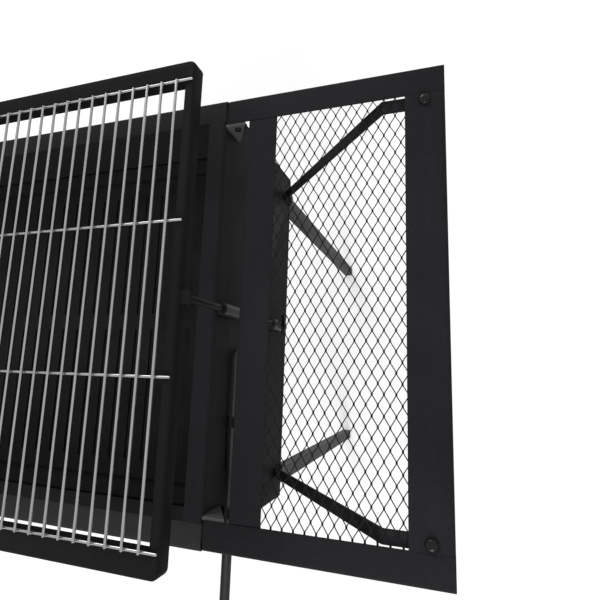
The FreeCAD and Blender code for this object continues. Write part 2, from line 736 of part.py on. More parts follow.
def save_lift():
    """The raised frame with its rods, guides and lock screws, and the cooking grate."""
    ring = frame_ring()
    save("frame_front_bar", frame_bar(ring, (-1, -1), (1, -1)))
    save("frame_rear_bar", frame_bar(ring, (-1, 1), (1, 1)))
    save_pair("frame_bar", frame_bar(ring, (1, -1), (1, 1)))
    save_pair("rod_tab", rod_tab())
    save_pair("lift_rod", lift_rod())
    save_pair("rod_sleeve", guide_tube(SLEEVE_LOW, SLEEVE_LENGTH))
    save_pair("rod_guide", lower_guide())
    save_pair("lock_screw", lock_screw())
    save("grate_cross_wires", *cross_wires())
    save("grate_long_wires", *long_wires())


def save_rail():
    """The front rail with its arms and fasteners."""
    save_pair("rail_arm", rail_arm())
    end = Vec(ARM_X, RAIL_Y, RAIL_Z)
    bore = RAIL_DIA - 2 * RAIL_WALL
    save("front_rail", tube(RAIL_DIA, bore, end - X_AXIS * (2 * ARM_X), end))
    plug_width = bore * math.cos(math.pi / RAIL_PLUG_SIDES)
    plug = many_sided(plug_width, RAIL_PLUG_SIDES, end, X_AXIS * -RAIL_PLUG_LENGTH)
    plug = plug.cut(bolt_shaft(end - X_AXIS * RAIL_PLUG_LENGTH, end))
    save("rail_plugs", plug, mirrored(plug))
    screw = hex_bolt(end + X_AXIS * ARM_THICK, -X_AXIS, ARM_THICK + RAIL_PLUG_LENGTH)
    save("rail_screws", screw, mirrored(screw))
    spacers = []
    bolts = []
    stack = SPACER_THICK + ARM_THICK
    for point in arm_bolt_points():
        spacer = plate_washer(point, X_AXIS, SPACER_THICK)
        bolt = hex_bolt(point + X_AXIS * stack, -X_AXIS, stack + SHEET)
        spacers += [spacer, mirrored(spacer)]
        bolts += [bolt, mirrored(bolt)]
    save("arm_spacers", *spacers)
    save("arm_bolts", *bolts)


def save_shelves():
    """Both side shelves with their ears and braces."""
    rear = end_bar()
    save_pair("shelf_rear_bar", rear)
    save_pair("shelf_front_bar", flipped(rear))
    save_pair("shelf_inner_bar", inner_bar())
    save_pair("shelf_outer_bar", outer_bar())
    save_pair("shelf_mesh", shelf_mesh())
    save_ears()
    rear_brace = brace()
    save_pair("braces", rear_brace, flipped(rear_brace))
    top_bolt = button_bolt(BRACE_SEAT, -Z_AXIS, brace_bolt_grip())
    save("brace_bolts", *all_corners(top_bolt))
    washer = plate_washer(BRACE_SEAT - Z_AXIS * SHEET, -Z_AXIS, MESH_THICK)
    save("brace_washers", *all_corners(washer))
    foot_bolt = hex_bolt(BRACE_FOOT + X_AXIS * BRACE_THICK, -X_AXIS, BRACE_THICK + SHEET)
    save("brace_foot_bolts", *all_corners(foot_bolt))


def save_nuts():
    """Every hex nut of the grill, all of one size."""
    nuts = all_corners(cap_nut(leg_bolt_point() - Y_AXIS * (SHEET + LEG_SIZE), -Y_AXIS))
    for point in arm_bolt_points():
        nut = cap_nut(point - X_AXIS * SHEET, -X_AXIS)
        nuts += [nut, mirrored(nut)]
    ear_nut = cap_nut(EAR_BOLT + Y_AXIS * EAR_SHEET, Y_AXIS)
    nuts += [ear_nut, mirrored(ear_nut)]
    nuts += all_corners(cap_nut(BRACE_SEAT - Z_AXIS * brace_bolt_grip(), -Z_AXIS))
    nuts += all_corners(cap_nut(BRACE_FOOT - X_AXIS * SHEET, -X_AXIS))
    save("hex_nuts", *nuts)


os.makedirs("parts", exist_ok=True)
save_body()
save_lift()
save_rail()
save_shelves()
save_nuts()
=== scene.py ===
"""Looks of a charcoal grill with a raised wire grate, mesh side shelves and a front rail.

Metres, +Z up, +X to the right; the cook stands at -Y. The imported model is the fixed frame.
"""
import json
import math
import random

import bmesh
import bpy
from mathutils import Matrix, Vector


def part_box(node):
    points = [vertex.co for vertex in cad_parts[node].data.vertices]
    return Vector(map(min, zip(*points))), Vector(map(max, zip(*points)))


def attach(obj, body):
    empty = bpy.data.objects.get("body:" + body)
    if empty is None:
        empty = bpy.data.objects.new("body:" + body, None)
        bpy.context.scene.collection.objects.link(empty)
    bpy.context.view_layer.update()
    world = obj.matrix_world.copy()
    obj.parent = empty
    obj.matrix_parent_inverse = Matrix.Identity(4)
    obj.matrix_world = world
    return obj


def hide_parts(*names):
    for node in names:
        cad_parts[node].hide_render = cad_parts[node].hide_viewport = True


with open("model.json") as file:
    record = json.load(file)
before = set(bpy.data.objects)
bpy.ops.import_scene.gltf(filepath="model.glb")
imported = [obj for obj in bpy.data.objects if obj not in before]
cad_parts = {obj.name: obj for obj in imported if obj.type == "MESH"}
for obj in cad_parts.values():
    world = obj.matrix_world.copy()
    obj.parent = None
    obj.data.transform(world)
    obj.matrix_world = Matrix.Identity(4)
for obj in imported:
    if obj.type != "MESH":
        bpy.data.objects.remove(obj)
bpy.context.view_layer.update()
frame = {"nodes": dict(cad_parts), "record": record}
random.seed(7)

MM = 0.001
X_AXIS = Vector((1, 0, 0))
Y_AXIS = Vector((0, 1, 0))
Z_AXIS = Vector((0, 0, 1))


def low_corner(node):
    """Lowest corner of a solid, in millimetres."""
    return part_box(node)[0] / MM


def high_corner(node):
    """Highest corner of a solid, in millimetres."""
    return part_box(node)[1] / MM


def middle(node):
    """Middle of a solid's box, in millimetres."""
    return (low_corner(node) + high_corner(node)) / 2


def extent(node):
    """Sizes of a solid's box, in millimetres."""
    return high_corner(node) - low_corner(node)


# Places taken from the solids, in millimetres about the middle of the body
Y_SHIFT = (low_corner("front_panel").y + high_corner("rear_panel").y) / 2
SIDE_X = high_corner("rear_panel").x
REAR_Y = high_corner("rear_panel").y - Y_SHIFT
TOP = high_corner("rear_panel").z
FRAME_TOP = low_corner("grate_cross_wires").z

# Thicknesses, and half the width of a guide's flat side, in millimetres
SHEET = SIDE_X - high_corner("floor_pan").x
LEG_SIZE = extent("right_rear_leg").y
ARM_THICK = extent("right_rail_arm").x
SPACER_THICK = low_corner("right_rail_arm").x - SIDE_X
EAR_SHEET = 3.0
BRACE_THICK = 3.0
GUIDE_CHORD = 3.6


def at(x, y, z):
    """A point given in millimetres about the middle of the body, in the frame's metres."""
    return Vector((x, y + Y_SHIFT, z)) * MM


# Materials

BUMP_DEPTH = 0.0004
SPECK_SCALE = 0.6
# Slope of the upward faces, and spread of the patches, that take painted light
TOP_LIGHT_SLOPE = (0.5, 0.9)
TOP_LIGHT_COVER = (0.6, 1.0)


def new_tree(name):
    """A material with nothing in its node tree."""
    material = bpy.data.materials.new(name)
    material.use_nodes = True
    material.node_tree.nodes.clear()
    return material, material.node_tree.nodes, material.node_tree.links


def noise(nodes, links, coordinate, scale, detail, stretch):
    """A noise texture over object coordinates, stretched along the axes where asked."""
    texture = nodes.new("ShaderNodeTexNoise")
    texture.inputs["Scale"].default_value = scale
    texture.inputs["Detail"].default_value = detail
    source = coordinate.outputs["Object"]
    if stretch:
        mapping = nodes.new("ShaderNodeMapping")
        mapping.inputs["Scale"].default_value = stretch
        links.new(source, mapping.inputs["Vector"])
        source = mapping.outputs["Vector"]
    links.new(source, texture.inputs["Vector"])
    return texture.outputs["Fac"]


def remap(nodes, links, value, low, high, start=0.3, stop=0.7):
    """A stretch of a value's range, its middle if not said, spread over another range."""
    node = nodes.new("ShaderNodeMapRange")
    node.inputs["From Min"].default_value = start
    node.inputs["From Max"].default_value = stop
    node.inputs["To Min"].default_value = low
    node.inputs["To Max"].default_value = high
    links.new(value, node.inputs["Value"])
    return node.outputs["Result"]


def combine(nodes, links, operation, first, second):
    """Two values put together by a sum, a product or the like."""
    node = nodes.new("ShaderNodeMath")
    node.operation = operation
    links.new(first, node.inputs[0])
    links.new(second, node.inputs[1])
    return node.outputs["Value"]


def blend_colours(nodes, links, factor, first, second):
    """A colour between two, or a little beyond them, by a factor."""
    node = nodes.new("ShaderNodeMix")
    node.data_type = "RGBA"
    node.clamp_factor = False
    links.new(factor, node.inputs["Factor"])
    node.inputs["A"].default_value = (*first, 1)
    node.inputs["B"].default_value = (*second, 1)
    return node.outputs["Result"]


def painted_top_light(nodes, links, colour, top_light, patches):
    """Painted light: a colour lightened by another in uneven patches on the faces that look up."""
    geometry = nodes.new("ShaderNodeNewGeometry")
    parts = nodes.new("ShaderNodeSeparateXYZ")
    links.new(geometry.outputs["Normal"], parts.inputs["Vector"])
    upward = remap(nodes, links, parts.outputs["Z"], 0.0, 1.0, *TOP_LIGHT_SLOPE)
    uneven = remap(nodes, links, patches, *TOP_LIGHT_COVER)
    node = nodes.new("ShaderNodeMix")
    node.data_type = "RGBA"
    links.new(combine(nodes, links, "MULTIPLY", upward, uneven), node.inputs["Factor"])
    links.new(colour, node.inputs["A"])
    node.inputs["B"].default_value = (*top_light, 1)
    return node.outputs["Result"]


def surface(name, dark, light, rough, metallic=0.0, specular=0.5, grain=900.0, grain_height=0.05,
            patch=7.0, stretch=None, speckle=0.0, top_light=None):
    """A material whose colour, roughness and fine relief vary over the surface.

    Where a top light colour is given, it lies as painted light on the faces that look up.
    """
    material, nodes, links = new_tree(name)
    output = nodes.new("ShaderNodeOutputMaterial")
    shader = nodes.new("ShaderNodeBsdfPrincipled")
    links.new(shader.outputs["BSDF"], output.inputs["Surface"])
    shader.inputs["Metallic"].default_value = metallic
    shader.inputs["Specular IOR Level"].default_value = specular
    coordinate = nodes.new("ShaderNodeTexCoord")
    patches = noise(nodes, links, coordinate, patch, 4.0, stretch)
    fine = noise(nodes, links, coordinate, grain, 2.0, stretch)
    shade = remap(nodes, links, patches, 0.0, 1.0)
    if speckle:
        specks = noise(nodes, links, coordinate, grain * SPECK_SCALE, 2.0, stretch)
        shade = combine(nodes, links, "ADD", shade, remap(nodes, links, specks, -speckle, speckle))
    colour = blend_colours(nodes, links, shade, dark, light)
    # Painted light on the upward faces, where asked
    if top_light:
        colour = painted_top_light(nodes, links, colour, top_light, patches)
    links.new(colour, shader.inputs["Base Color"])
    links.new(remap(nodes, links, patches, *rough), shader.inputs["Roughness"])
    bump = nodes.new("ShaderNodeBump")
    bump.inputs["Strength"].default_value = grain_height
    bump.inputs["Distance"].default_value = BUMP_DEPTH
    links.new(fine, bump.inputs["Height"])
    links.new(bump.outputs["Normal"], shader.inputs["Normal"])
    return material


def paint(name, dark, light, rough, speckle):
    """Dull heat-resistant paint on sheet steel."""
    return surface(name, dark, light, rough, specular=0.02, grain=1100.0, grain_height=0.12, speckle=speckle)


MATERIALS = {
    "black_paint": paint("black_paint", (0.0165, 0.0158, 0.0174), (0.0235, 0.0226, 0.0249),
                         (0.5, 0.62), 0.35),
    # A darker copy of the black paint: painted shade on the frame's bars and tabs.
    "painted_shade_frame": paint("painted_shade_frame", (0.0122, 0.0118, 0.0128), (0.0158, 0.0152, 0.0165),
                         (0.5, 0.62), 0.6),
    # A lighter copy of the black paint: painted light on the front panel.
    "painted_light_rim": paint("painted_light_rim", (0.031, 0.0304, 0.0322), (0.039, 0.0382, 0.0405),
                       (0.48, 0.6), 0.5),
    # A lighter copy of the black paint: painted light on the rear panel and the coal ledges.
    "painted_light_back": paint("painted_light_back", (0.0215, 0.0206, 0.0222), (0.0285, 0.0274, 0.0297),
                        (0.5, 0.62), 0.5),
    "leg_paint": surface("leg_paint", (0.042, 0.042, 0.044), (0.052, 0.052, 0.054), (0.45, 0.6),
                         specular=0.08, grain_height=0.07, patch=14.0, speckle=0.3),
    "bracket_paint": surface("bracket_paint", (0.074, 0.073, 0.076), (0.092, 0.091, 0.094), (0.42, 0.55),
                             specular=0.12, grain_height=0.07, patch=30.0, speckle=0.3),
    "sleeve_paint": surface("sleeve_paint", (0.015, 0.014, 0.0152), (0.019, 0.018, 0.0192), (0.26, 0.34),
                            specular=0.08, patch=40.0, speckle=0.3),
    "arm_paint": surface("arm_paint", (0.027, 0.027, 0.0285), (0.034, 0.034, 0.0355), (0.42, 0.55),
                         specular=0.05, grain_height=0.07, patch=14.0, speckle=0.3),
    # Painted light: the floor pan's upward faces are lightened in patches against the shade that darkens its
    # slots.
    "painted_light_pan": surface("painted_light_pan", (0.0175, 0.0168, 0.0185), (0.0225, 0.0216, 0.0238), (0.6, 0.75),
                         specular=0.02, grain=700.0, grain_height=0.2, patch=22.0, speckle=0.6,
                         top_light=(0.115, 0.108, 0.108)),
    "chrome_wire": surface("chrome_wire", (0.32, 0.32, 0.33), (0.37, 0.37, 0.38), (0.14, 0.22),
                           metallic=1.0, grain=700.0, grain_height=0.0, patch=40.0,
                           stretch=(1.0, 0.2, 1.0)),
    "dark_hardware": surface("dark_hardware", (0.010, 0.0095, 0.0105), (0.018, 0.0172, 0.0185),
                             (0.34, 0.46), specular=0.1, grain=600.0, patch=120.0),
    "plated_bolts": surface("plated_bolts", (0.009, 0.009, 0.0095), (0.014, 0.014, 0.0145), (0.14, 0.2),
                            specular=0.13, grain=800.0, grain_height=0.03, patch=150.0),
    "knob_plastic": surface("knob_plastic", (0.009, 0.009, 0.0095), (0.013, 0.013, 0.0135), (0.45, 0.58),
                            specular=0.05, grain=1500.0, grain_height=0.1, patch=60.0),
    "rod_steel": surface("rod_steel", (0.0105, 0.010, 0.011), (0.0145, 0.014, 0.015), (0.36, 0.48),
                         specular=0.05, patch=25.0, stretch=(1.0, 1.0, 0.15)),
    "bare_grate_steel": surface("bare_grate_steel", (0.019, 0.0178, 0.0188), (0.025, 0.0236, 0.0245),
                                (0.5, 0.7), specular=0.02, grain=500.0, grain_height=0.12, patch=18.0,
                                speckle=0.5),
}

# Solids whose finish is a shade of their slot's. The frame's darker copy of the black paint is painted
# shade; the lighter copies on the front panel, the rear panel and the ledges, and the lightened top of the
# floor pan, are painted light.
FINISHES = {
    "frame_front_bar": "painted_shade_frame",
    "frame_rear_bar": "painted_shade_frame",
    "left_frame_bar": "painted_shade_frame",
    "right_frame_bar": "painted_shade_frame",
    "left_rod_tab": "painted_shade_frame",
    "right_rod_tab": "painted_shade_frame",
    "front_panel": "painted_light_rim",
    "rear_panel": "painted_light_back",
    "front_coal_ledge": "painted_light_back",
    "rear_coal_ledge": "painted_light_back",
    "floor_pan": "painted_light_pan",
    "left_rail_arm": "arm_paint",
    "right_rail_arm": "arm_paint",
    "left_rod_sleeve": "sleeve_paint",
    "right_rod_sleeve": "sleeve_paint",
    "left_rod_guide": "bracket_paint",
    "right_rod_guide": "bracket_paint",
    "shelf_ears": "bracket_paint",
}
SLOTS = {part["node"]: part["material_slot"] for part in frame["record"]["subparts"]}


def finish_of(node):
    """The material of a solid."""
    return MATERIALS[FINISHES.get(node, SLOTS[node])]


def dress_nodes():
    """Give every solid its finish."""
    for name, node in frame["nodes"].items():
        node.data.materials.clear()
        node.data.materials.append(finish_of(name))


# Pieces

SMOOTH_ANGLE = 35.0


def add_piece(name, bm, slot, body, *nodes, smooth=SMOOTH_ANGLE, finish=None):
    """Make an object of a mesh, give it its finish, put it on its body and hide the solids it stands in for.
    """
    bmesh.ops.recalc_face_normals(bm, faces=bm.faces)
    mesh = bpy.data.meshes.new(name)
    bm.to_mesh(mesh)
    bm.free()
    piece = bpy.data.objects.new(name, mesh)
    bpy.context.scene.collection.objects.link(piece)
    mesh.materials.append(finish or MATERIALS[slot])
    mesh.shade_smooth()
    mesh.set_sharp_from_angle(angle=math.radians(smooth))
    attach(piece, body)
    if nodes:
        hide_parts(*nodes)
    return piece


def value_at(value, angle):
    """A number, or what a function of the angle gives."""
    return value(angle) if callable(value) else value


STEEP = 0.9


def cross_directions(axis):
    """Two directions across an axis, the first as upright as it can be unless the axis is steep."""
    first = axis.orthogonal()
    if abs(axis.z) < STEEP:
        first = Z_AXIS - axis * axis.z
    first.normalize()
    return first, axis.cross(first)


def lathe(bm, start, axis, profile, sides):
    """Turn a profile of (distance along the axis, radius) about an axis, closed at both ends.

    Each of the two may be a number or a function of the angle.
    """
    first, second = cross_directions(axis)
    rings = []
    for along, radius in profile:
        ring = []
        for index in range(sides):
            angle = 2 * math.pi * index / sides
            offset = first * math.cos(angle) + second * math.sin(angle)
            point = start + axis * value_at(along, angle) + offset * value_at(radius, angle)
            ring.append(bm.verts.new(point))
        rings.append(ring)
    join_rings(bm, rings)


def join_rings(bm, rings):
    """Skin a row of rings of points, closed at both ends."""
    sides = len(rings[0])
    for lower, upper in zip(rings, rings[1:]):
        for index in range(sides):
            after = (index + 1) % sides
            bm.faces.new((lower[index], lower[after], upper[after], upper[index]))
    bm.faces.new(rings[0][::-1])
    bm.faces.new(rings[-1])


def in_metres(profile):
    """A profile given in millimetres."""
    return [(along * MM, radius * MM) for along, radius in profile]


# Rounded edges of sheets and bars

SOFT_EDGE = 0.6
SOFT_ANGLE = math.radians(40)
SOFT_SMOOTH = 25.0
FLAT_ANGLE = math.radians(0.5)
MERGE = 0.001
SEAM = 0.7
SEAM_DEPTH = 1.2 * SOFT_EDGE
SEAM_REACH = 2 * SOFT_EDGE
SOFT_ENDINGS = ("_panel", "_bar", "_arm", "_tab", "_leg", "braces", "_ears")
SEAM_ENDINGS = ("inner_bar", "outer_bar")


def body_of(node):
    """The body that a solid belongs to."""
    for body, members in frame["record"]["behaviour"]["bodies"].items():
        if node in members:
            return body


def open_seams(bm, name):
    """Draw in the upper edge at both ends of a shelf bar, so that its seams show as narrow grooves."""
    low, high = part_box(name)
    for vert in bm.verts:
        if vert.co.z < high.z - SEAM_DEPTH * MM:
            continue
        for end, inward in ((low.y, SEAM * MM), (high.y, -SEAM * MM)):
            if abs(vert.co.y - end) < SEAM_REACH * MM:
                vert.co.y += inward


def build_soft_edges():
    """Sheets and bars with their sharp edges rounded off, as paint and folding leave them."""
    for name in SLOTS:
        if not name.endswith(SOFT_ENDINGS):
            continue
        bm = bmesh.new()
        bm.from_mesh(frame["nodes"][name].data)
        bmesh.ops.remove_doubles(bm, verts=bm.verts, dist=MERGE * MM)
        bmesh.ops.dissolve_limit(bm, angle_limit=FLAT_ANGLE, verts=bm.verts, edges=bm.edges)
        sharp = [edge for edge in bm.edges if edge.is_manifold and edge.calc_face_angle() > SOFT_ANGLE]
        bmesh.ops.bevel(bm, geom=sharp, offset=SOFT_EDGE * MM, offset_type="OFFSET", segments=2,
                        profile=0.5, affect="EDGES", clamp_overlap=True)
        if name.endswith(SEAM_ENDINGS):
            open_seams(bm, name)
        add_piece(name + "_rounded", bm, SLOTS[name], body_of(name), name,
                  smooth=SOFT_SMOOTH, finish=finish_of(name))


# Fasteners, with profiles of (distance along the axis, radius) in millimetres

BOLT_HEX = 10.2
BOLT_HEAD = 3.9
NUT_HEIGHT = 4.8
HEX_SIDES = 24
HEX_FLAT = 0.95
HEX_SLOPE = 0.5
THREAD_END = ((-0.5, 3.0), (0.2, 3.0), (0.5, 2.7), (0.8, 2.9), (1.1, 2.6), (1.3, 2.3))
THREAD_SIDES = 16
PAN_HEAD = ((0.0, 3.6), (1.2, 3.6), (1.9, 3.1), (2.3, 2.0), (2.4, 0.4))
PAN_SIDES = 20
DOME_FOOT = 5.4
DOME_RIM = 0.7
DOME_RADIUS = 5.2
DOME_RISE = 3.2
DOME_TIP = 0.02
DOME_STEPS = 7
DOME_SIDES = 32
SPACER_RADIUS = 6.0
SPACER_EDGE = 0.3
SPACER_BEVEL = 0.4
SPACER_SIDES = 24


def hex_reach(across):
    """Distance from the centre to the side of a hexagon, by angle."""
    def reach(angle):
        turned = (angle + math.pi / 6) % (math.pi / 3) - math.pi / 6
        return across / 2 / math.cos(turned)
    return reach


def hex_profile(height, across, both_ends):
    """Profile of a hexagon whose corners are turned down to a cone at one end or both."""
    reach = hex_reach(across)
    flat = across / 2 * HEX_FLAT

    def drop(angle):
        return (reach(angle) - flat) * HEX_SLOPE

    upper = [(lambda angle: height - drop(angle), reach), (height, flat)]
    if not both_ends:
        return [(0.0, reach)] + upper
    return [(0.0, flat), (drop, reach)] + upper


def hex_head(bm, seat, outward):
    """A hex bolt head on its seat."""
    lathe(bm, seat, outward, hex_profile(BOLT_HEAD * MM, BOLT_HEX * MM, False), HEX_SIDES)


def hex_nut(bm, seat, outward):
    """A hex nut on its seat with the end of its bolt standing a little proud."""
    lathe(bm, seat, outward, hex_profile(NUT_HEIGHT * MM, BOLT_HEX * MM, True), HEX_SIDES)
    top = seat + outward * (NUT_HEIGHT * MM)
    lathe(bm, top, outward, in_metres(THREAD_END), THREAD_SIDES)


def dome_head(bm, seat, outward):
    """A round domed bolt head with a thin rim."""
    profile = [(0.0, DOME_FOOT), (DOME_RIM, DOME_FOOT)]
    for step in range(1, DOME_STEPS + 1):
        angle = math.pi / 2 * step / DOME_STEPS
        profile.append((DOME_RIM + DOME_RISE * math.sin(angle), DOME_RADIUS * math.cos(angle) + DOME_TIP))
    lathe(bm, seat, outward, in_metres(profile), DOME_SIDES)


def pan_head(bm, seat, outward):
    """A small round bolt head."""
    lathe(bm, seat, outward, in_metres(PAN_HEAD), PAN_SIDES)


def spacer(bm, seat, outward):
    """A round spacer with its edges taken off."""
    low = (0.0, SPACER_RADIUS - SPACER_EDGE)
    high = (SPACER_THICK, SPACER_RADIUS - SPACER_EDGE)
    wall = [(SPACER_BEVEL, SPACER_RADIUS), (SPACER_THICK - SPACER_BEVEL, SPACER_RADIUS)]
    lathe(bm, seat, outward, in_metres([low, *wall, high]), SPACER_SIDES)


def all_corners(x, y, z, direction):
    """A place and its images at the other three corners of the body, each with its direction."""
    found = []
    for side in (1, -1):
        for end in (1, -1):
            turned = Vector((direction.x * side, direction.y * end, direction.z))
            found.append((at(x * side, y * end, z), turned))
    return found


def both_sides(x, y, z, direction):
    """A place and its image on the left, each with its direction."""
    found = []
    for side in (1, -1):
        found.append((at(x * side, y, z), Vector((direction.x * side, direction.y, direction.z))))
    return found


# Where each kind of bolt on the right goes through the outer face of what it holds
WASHER_HALF = 6.0
HEX_CORNER = BOLT_HEX / math.sqrt(3)
EAR_FACE = high_corner("shelf_ears").y - Y_SHIFT
BRACE_Y = high_corner("brace_washers").y - WASHER_HALF - Y_SHIFT
BRACE_GRIP = SHEET + extent("right_shelf_mesh").z + BRACE_THICK
RAIL_Y = middle("front_rail").y - Y_SHIFT
RAIL_Z = middle("front_rail").z
LEG_BOLT = (middle("right_rear_leg").x, REAR_Y, middle("leg_bolts").z)
EAR_BOLT = (high_corner("ear_bolts").x - HEX_CORNER, EAR_FACE, middle("ear_bolts").z)
BRACE_SEAT = (high_corner("brace_washers").x - WASHER_HALF, BRACE_Y, TOP)
BRACE_FOOT = (SIDE_X, BRACE_Y, middle("brace_foot_bolts").z)
ARM_BOLTS = [
    (SIDE_X, low_corner("arm_spacers").y + SPACER_RADIUS - Y_SHIFT, RAIL_Z),
    (SIDE_X, high_corner("arm_spacers").y - SPACER_RADIUS - Y_SHIFT, RAIL_Z),
]
RAIL_SCREW = (SIDE_X + SPACER_THICK + ARM_THICK, RAIL_Y, RAIL_Z)


def shifted(point, direction, distance):
    """A place moved along a direction, still in millimetres."""
    return tuple(p + d * distance for p, d in zip(point, direction))


def nut_places():
    """The seats of all nuts, each with the direction that its nut faces."""
    places = all_corners(*shifted(LEG_BOLT, Y_AXIS, -SHEET - LEG_SIZE), -Y_AXIS)
    places += both_sides(*shifted(EAR_BOLT, Y_AXIS, EAR_SHEET), Y_AXIS)
    places += all_corners(*shifted(BRACE_SEAT, Z_AXIS, -BRACE_GRIP), -Z_AXIS)
    places += all_corners(*shifted(BRACE_FOOT, X_AXIS, -SHEET), -X_AXIS)
    for bolt in ARM_BOLTS:
        places += both_sides(*shifted(bolt, X_AXIS, -SHEET), -X_AXIS)
    return places


def add_fasteners(name, node, slot, make, places):
    """One piece of like fasteners, one at each place, in place of a solid."""
    bm = bmesh.new()
    for seat, outward in places:
        make(bm, seat, outward)
    add_piece(name, bm, slot, "firebox", node)


def build_fasteners():
    """Spacers, bolt heads and nuts."""
    spacers = []
    arm_heads = []
    for bolt in ARM_BOLTS:
        spacers += both_sides(*bolt, X_AXIS)
        arm_heads += both_sides(*shifted(bolt, X_AXIS, SPACER_THICK + ARM_THICK), X_AXIS)
    leg_heads = all_corners(*LEG_BOLT, Y_AXIS)
    ear_heads = both_sides(*shifted(EAR_BOLT, Y_AXIS, -EAR_SHEET), -Y_AXIS)
    foot_heads = all_corners(*shifted(BRACE_FOOT, X_AXIS, BRACE_THICK), X_AXIS)
    rail_heads = both_sides(*RAIL_SCREW, X_AXIS)
    brace_heads = all_corners(*BRACE_SEAT, Z_AXIS)
    add_fasteners("spacers_round", "arm_spacers", "dark_hardware", spacer, spacers)
    add_fasteners("leg_bolts_chamfered", "leg_bolts", "dark_hardware", hex_head, leg_heads)
    add_fasteners("ear_bolts_chamfered", "ear_bolts", "dark_hardware", pan_head, ear_heads)
    add_fasteners("brace_foot_bolts_chamfered", "brace_foot_bolts", "dark_hardware", hex_head, foot_heads)
    add_fasteners("arm_bolts_chamfered", "arm_bolts", "plated_bolts", hex_head, arm_heads)
    add_fasteners("rail_screws_chamfered", "rail_screws", "plated_bolts", hex_head, rail_heads)
    add_fasteners("hex_nuts_chamfered", "hex_nuts", "dark_hardware", hex_nut, nut_places())
    add_fasteners("brace_bolts_domed", "brace_bolts", "plated_bolts", dome_head, brace_heads)


# Welds

BEAD = 1.1
BEAD_SIDES = 8
BEAD_LEAST_STEPS = 6
BEAD_TIP = 0.3
RIPPLE = 0.16
RIPPLE_TURN = 2.1
UNEVENNESS = 0.08
PANEL_BEAD_OUT = 0.3
TAB_BEAD_OUT = 0.2
GUIDE_BEAD_INSET = 1.0
EAR_BEAD_INSET = 2.0


def weld_bead(bm, start, end):
    """A rippled bead laid along a straight joint."""
    length = (end - start).length
    steps = max(BEAD_LEAST_STEPS, round(length / (BEAD * MM)))
    profile = [(0.0, BEAD_TIP * BEAD * MM)]
    for step in range(1, steps):
        swell = 1 + RIPPLE * math.sin(RIPPLE_TURN * step) + random.uniform(-UNEVENNESS, UNEVENNESS)
        profile.append((length * step / steps, swell * BEAD * MM))
    profile.append((length, BEAD_TIP * BEAD * MM))
    lathe(bm, start, (end - start).normalized(), profile, BEAD_SIDES)


def guide_beads(bm):
    """Beads up both edges of the sleeves and guides."""
    for side, hand in ((1, "right_"), (-1, "left_")):
        for kind in ("rod_sleeve", "rod_guide"):
            bottom = low_corner(hand + kind).z + GUIDE_BEAD_INSET
            top = high_corner(hand + kind).z - GUIDE_BEAD_INSET
            x = side * (SIDE_X + PANEL_BEAD_OUT)
            for y in (GUIDE_CHORD, -GUIDE_CHORD):
                weld_bead(bm, at(x, y, bottom), at(x, y, top))


def ear_beads(bm):
    """Beads up both faces of the ears."""
    bottom = low_corner("shelf_ears").z + EAR_BEAD_INSET
    top = high_corner("shelf_ears").z - EAR_BEAD_INSET
    for y in (EAR_FACE, EAR_FACE - EAR_SHEET):
        for seat, _ in all_corners(SIDE_X + PANEL_BEAD_OUT, y, bottom, Y_AXIS):
            weld_bead(bm, seat, seat + Z_AXIS * (top - bottom) * MM)


def tab_beads(bm):
    """Beads above and below the tabs."""
    for side, name in ((1, "right_rod_tab"), (-1, "left_rod_tab")):
        half = extent(name).y / 2
        x = side * (high_corner("right_frame_bar").x + TAB_BEAD_OUT)
        for z in (low_corner(name).z, high_corner(name).z):
            weld_bead(bm, at(x, -half, z), at(x, half, z))


def build_welds():
    """Beads beside the sleeves, guides and ears on the firebox, and along the tabs on the frame."""
    fixed = bmesh.new()
    guide_beads(fixed)
    ear_beads(fixed)
    add_piece("bracket_welds", fixed, "black_paint", "firebox", finish=MATERIALS["leg_paint"])
    moving = bmesh.new()
    tab_beads(moving)
    # The tab beads take the frame's painted shade.
    add_piece("tab_welds", moving, "black_paint", "grate_frame", finish=MATERIALS["painted_shade_frame"])


# Cooking grate

WIRE = 2.6
WIRE_SIDES = 14
LONG_WIRES = 39
CROSS_WIRES = 4
WIRE_PITCH = (extent("grate_long_wires").x - extent("grate_long_wires").z) / (LONG_WIRES - 1)
REAR_OVERHANG = 0.26
FRONT_OVERHANG = 1.3

# The rounded end of a wire, and the half sizes of a weld between two wires
WIRE_END = ((0.0, 0.35), (0.1, 0.7), (0.3, 0.93), (0.6, 1.0))
SPOT_WELD = (1.2, 1.2, 0.4)


def round_wire(bm, start, end):
    """A straight wire with rounded ends."""
    length = (end - start).length
    radius = WIRE / 2 * MM
    profile = [(radius * along, radius * reach) for along, reach in WIRE_END]
    profile += [(length - along, reach) for along, reach in profile[::-1]]
    lathe(bm, start, (end - start).normalized(), profile, WIRE_SIDES)


def spot_weld(bm, x, y):
    """A flat blob where two wires cross."""
    place = Matrix.Translation(at(x, y, FRAME_TOP + WIRE))
    size = Matrix.Diagonal((*(half * MM for half in SPOT_WELD), 1.0))
    bmesh.ops.create_uvsphere(bm, u_segments=10, v_segments=6, radius=1.0, matrix=place @ size)


